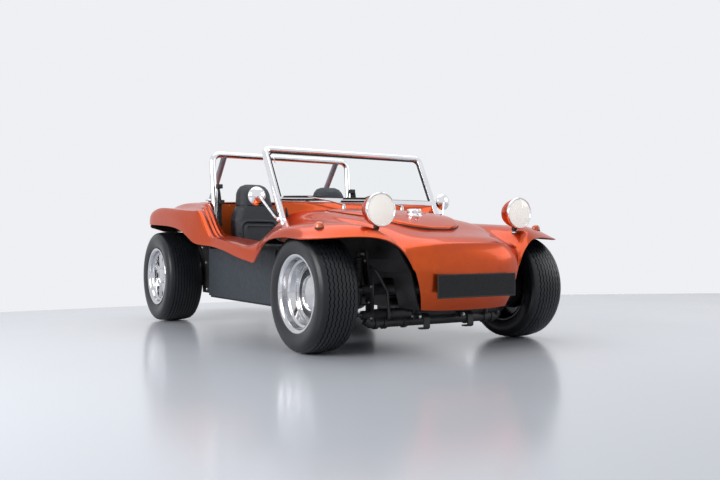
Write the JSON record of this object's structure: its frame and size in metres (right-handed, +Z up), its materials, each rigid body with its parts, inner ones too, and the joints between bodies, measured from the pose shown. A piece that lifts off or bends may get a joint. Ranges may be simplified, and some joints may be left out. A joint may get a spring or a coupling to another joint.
{
  "type": "dune buggy",
  "caption": "Open two-seat dune buggy: copper-orange laminate body with flared fenders on a short floor pan, raked windscreen, roll bar, wide wheels and rear engine.",
  "frame": {"origin": "on the floor, under the middle of the car's overall length and width", "axes": "+X to the car's left, +Y to its rear, +Z up; the front faces -Y"},
  "size_m": [1.774, 3.3029, 1.235],
  "materials": {
    "paint": "metallic copper orange under clear coat",
    "lamp_shell": "metallic copper orange with a chrome rim",
    "lamp_glass": "fluted clear glass",
    "screen_glass": "clear laminated glass",
    "chrome": "polished",
    "wheel_chrome": "polished",
    "tyre": "ribbed road tread",
    "black_steel": "semi-gloss chassis black",
    "panel_grey": "satin",
    "black_trim": "matt",
    "seat_cover": "grained vinyl",
    "webbing": "woven webbing",
    "wheel_rim": "stitched rim on metal spokes",
    "amber": "moulded lens",
    "red_lens": "moulded lens",
    "wiper_black": "blades on bright arms",
    "plate_black": "blank",
    "engine_alloy": "cast alloy",
    "black_tin": "gloss black",
    "exhaust_steel": "satin"
  },
  "bodies": {
    "root": {"cowl": "paint", "dashboard": "black_trim", "engine": "engine_alloy", "exhaust": "exhaust_steel", "fan_shroud": "black_tin", "filler_cap": "chrome", "firewall": "black_trim", "floor_pan": "black_trim", "front_beam": "black_steel", "front_deck": "paint", "front_fender_left": "paint", "front_fender_right": "paint", "front_shocks": "black_steel", "front_wells": "black_trim", "gear_lever": "black_steel", "handbrake": "black_steel", "headlamp_left": "lamp_shell", "headlamp_lens_left": "lamp_glass", "headlamp_lens_right": "lamp_glass", "headlamp_right": "lamp_shell", "hood_lid": "paint", "indicators": "amber", "mirrors": "chrome", "nose": "paint", "number_plate": "plate_black", "pedals": "black_steel", "rear_axle": "black_steel", "rear_bulkhead": "paint", "rear_deck": "paint", "rear_fender_left": "paint", "rear_fender_right": "paint", "roll_bar": "chrome", "seat_belts": "webbing", "seat_left": "seat_cover", "seat_right": "seat_cover", "seat_runners": "black_steel", "side_lining_left": "black_trim", "side_lining_right": "black_trim", "side_panel_left": "panel_grey", "side_panel_right": "panel_grey", "sill_left": "paint", "sill_right": "paint", "steering_column": "black_steel", "tail_lamps": "red_lens", "windscreen_frame": "chrome", "windscreen_glass": "screen_glass", "wipers": "wiper_black"},
    "front_knuckle_right": {"front_knuckle_right": "black_steel"},
    "front_knuckle_left": {"front_knuckle_left": "black_steel"},
    "front_wheel_right": {"front_rim_right": "wheel_chrome", "front_tyre_right": "tyre"},
    "front_wheel_left": {"front_rim_left": "wheel_chrome", "front_tyre_left": "tyre"},
    "rear_wheel_right": {"rear_rim_right": "wheel_chrome", "rear_tyre_right": "tyre"},
    "rear_wheel_left": {"rear_rim_left": "wheel_chrome", "rear_tyre_left": "tyre"},
    "steering_wheel": {"steering_wheel": "wheel_rim"},
    "tie_rod": {"tie_rod": "black_steel"}
  },
  "joints": [
    {"name": "steer_right", "type": "hinge", "parent": "root", "child": "front_knuckle_right", "pos_m": [-0.566, -1.15, 0.312], "axis": [0, 0, 1], "range_deg": [-28, 28]},
    {"name": "front_wheel_right_spin", "type": "hinge", "parent": "front_knuckle_right", "child": "front_wheel_right", "pos_m": [-0.703, -1.15, 0.312], "axis": [1, 0, 0], "continuous": true},
    {"name": "rear_wheel_right_spin", "type": "hinge", "parent": "root", "child": "rear_wheel_right", "pos_m": [-0.748, 0.966, 0.328], "axis": [1, 0, 0], "continuous": true},
    {"name": "steer_left", "type": "hinge", "parent": "root", "child": "front_knuckle_left", "pos_m": [0.566, -1.15, 0.312], "axis": [0, 0, 1], "range_deg": [-28, 28]},
    {"name": "front_wheel_left_spin", "type": "hinge", "parent": "front_knuckle_left", "child": "front_wheel_left", "pos_m": [0.703, -1.15, 0.312], "axis": [1, 0, 0], "continuous": true},
    {"name": "rear_wheel_left_spin", "type": "hinge", "parent": "root", "child": "rear_wheel_left", "pos_m": [0.748, 0.966, 0.328], "axis": [1, 0, 0], "continuous": true},
    {"name": "steering_wheel_turn", "type": "hinge", "parent": "root", "child": "steering_wheel", "pos_m": [0.338, -0.06, 0.742], "axis": [0, 0.891, 0.454], "range_deg": [-392, 392]},
    {"name": "tie_rod_slide", "type": "slide", "parent": "root", "child": "tie_rod", "axis": [-1, 0, 0], "range_m": [-0.05474, 0.05474]}
  ],
  "couplings": [
    {"joint": "steer_left", "follows": "steer_right", "ratio": 1},
    {"joint": "steering_wheel_turn", "follows": "steer_right", "ratio": 14},
    {"joint": "tie_rod_slide", "follows": "steer_right", "m_per_rad": 0.112}
  ]
}
